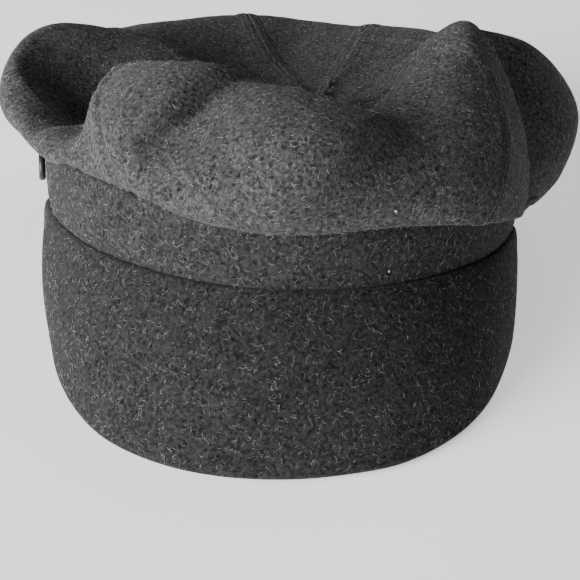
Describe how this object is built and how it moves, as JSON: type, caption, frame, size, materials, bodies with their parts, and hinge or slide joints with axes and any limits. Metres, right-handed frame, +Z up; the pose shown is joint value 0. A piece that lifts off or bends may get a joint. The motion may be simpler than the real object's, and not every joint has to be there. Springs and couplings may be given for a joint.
{
  "type": "felt work cap",
  "caption": "Soft grey felt work cap with a slouching panelled crown in deep folds, a plain headband and a downturned stitched brim.",
  "frame": {"origin": "middle of the cap's outline, on the surface that it lies on", "axes": "+Z up from the surface, -Y towards the brim's edge, +X towards the wearer's left side"},
  "size_m": [0.212, 0.2478, 0.0978],
  "materials": {
    "band_felt": "matt melange wool felt",
    "brim_felt": "matt melange wool felt",
    "crown_felt": "matt melange wool felt with light fibres",
    "button": "satin dark plastic"
  },
  "bodies": {
    "root": {"band": "band_felt", "brim": "brim_felt", "crown_back_left": "crown_felt", "crown_front_left": "crown_felt", "crown_front": "crown_felt", "crown_front_right": "crown_felt", "crown_back_right": "crown_felt", "crown_back": "crown_felt", "side_button": "button"}
  },
  "joints": []
}
